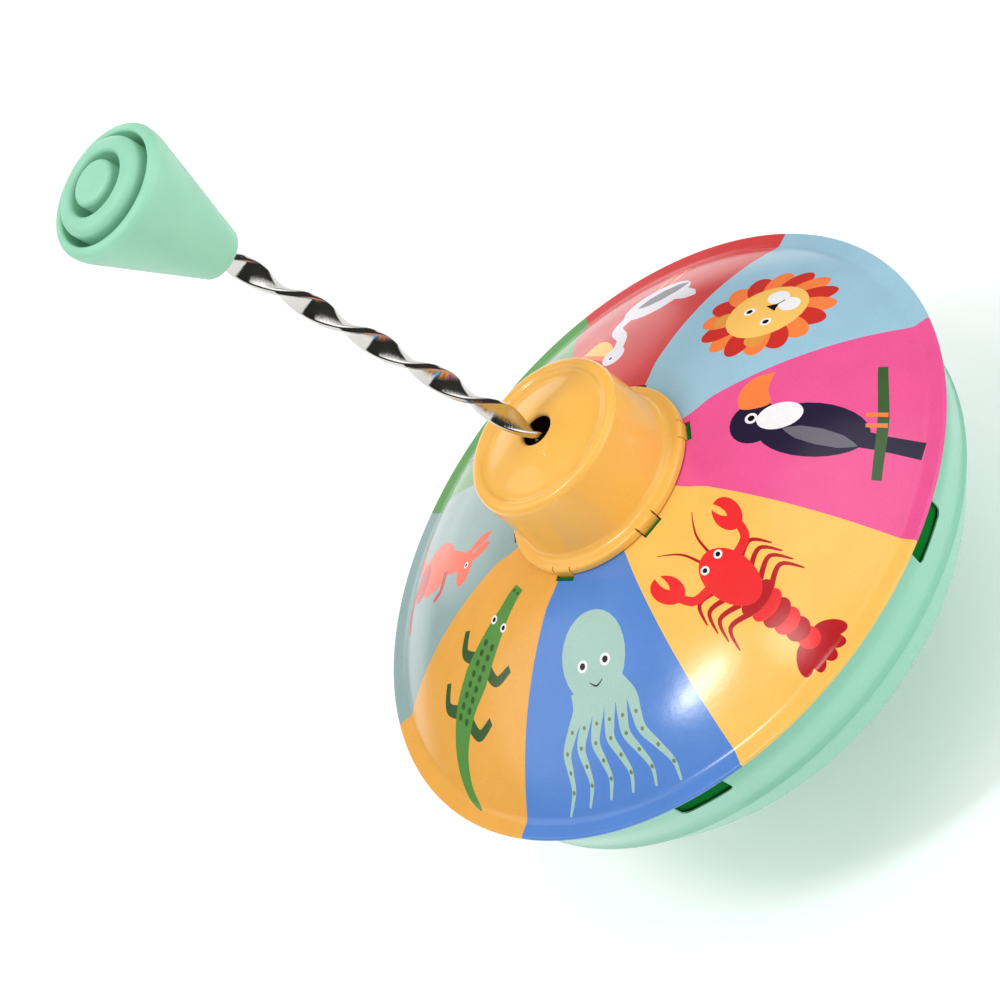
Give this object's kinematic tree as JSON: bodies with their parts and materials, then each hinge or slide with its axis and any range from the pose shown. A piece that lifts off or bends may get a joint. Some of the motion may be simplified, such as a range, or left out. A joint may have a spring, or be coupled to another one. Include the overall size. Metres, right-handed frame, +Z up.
{
  "type": "spinning top",
  "caption": "Pump-action humming top: hollow tinplate body turned by a twisted strip that a conical handle pushes through the hub.",
  "frame": {"origin": "lowest point of the steel foot pin, on the body's axis, with the top standing upright", "axes": "+Z up the body's axis towards the hub; the hub's bent tabs stand at 0, 60, 120 degrees and so on from +X; the strip leans 7.45 degrees towards azimuth -143 degrees at rest"},
  "size_m": [0.1842, 0.1842, 0.277],
  "materials": {
    "printed_tin": "glossy printed and lacquered tinplate, in eight coloured panels",
    "mint_tin": "satin mint lacquer on tinplate",
    "yellow_tin": "satin yellow lacquer on a pressed cap",
    "green_plastic": "dark green moulded plastic",
    "mint_plastic": "soft-sheen mint moulded plastic",
    "bright_steel": "bright nickel plating",
    "brass": "rolled brass",
    "friction_rubber": "matt black rubber",
    "nylon": "natural moulded nylon"
  },
  "bodies": {
    "top_body": {"upper_shell": "printed_tin", "lower_shell": "mint_tin", "hub_cap": "yellow_tin", "drive_housing": "green_plastic", "clutch_ring": "friction_rubber", "sound_plate": "green_plastic", "reed_1": "brass", "reed_2": "brass", "reed_3": "brass", "reed_4": "brass", "reed_5": "brass", "reed_6": "brass", "reed_rivet_1": "brass", "reed_rivet_2": "brass", "reed_rivet_3": "brass", "reed_rivet_4": "brass", "reed_rivet_5": "brass", "reed_rivet_6": "brass", "foot_ferrule": "mint_plastic", "foot_washer": "bright_steel", "foot_pin": "bright_steel"},
    "drive_wheel": {"drive_wheel": "nylon", "wheel_cover": "bright_steel", "cover_screw_1": "bright_steel", "cover_screw_2": "bright_steel", "cover_screw_3": "bright_steel"},
    "slot_plate": {"slot_plate": "bright_steel"},
    "stop_bush": {"stop_bush": "nylon"},
    "spindle": {"spindle": "bright_steel", "handle": "mint_plastic", "anchor_pin": "bright_steel"}
  },
  "joints": [
    {"name": "freewheel", "type": "hinge", "parent": "top_body", "child": "drive_wheel", "pos_m": [0, 0, 0.1165], "axis": [0, 0, 1], "continuous": true},
    {"name": "spindle_lean", "type": "hinge", "parent": "drive_wheel", "child": "slot_plate", "pos_m": [0, 0, 0.1165], "axis": [0.6018, -0.7986, 0], "range_deg": [-14.9, 0]},
    {"name": "plunge", "type": "slide", "parent": "slot_plate", "child": "stop_bush", "axis": [-0.1036, -0.078, 0.9916], "range_m": [-0.085, 0]},
    {"name": "spindle_turn", "type": "hinge", "parent": "stop_bush", "child": "spindle", "pos_m": [0, 0, 0.1165], "axis": [-0.1036, -0.078, 0.9916], "range_deg": [0, 690]}
  ],
  "couplings": [
    {"joint": "spindle_turn", "follows": "plunge", "rad_per_m": -140.88}
  ]
}
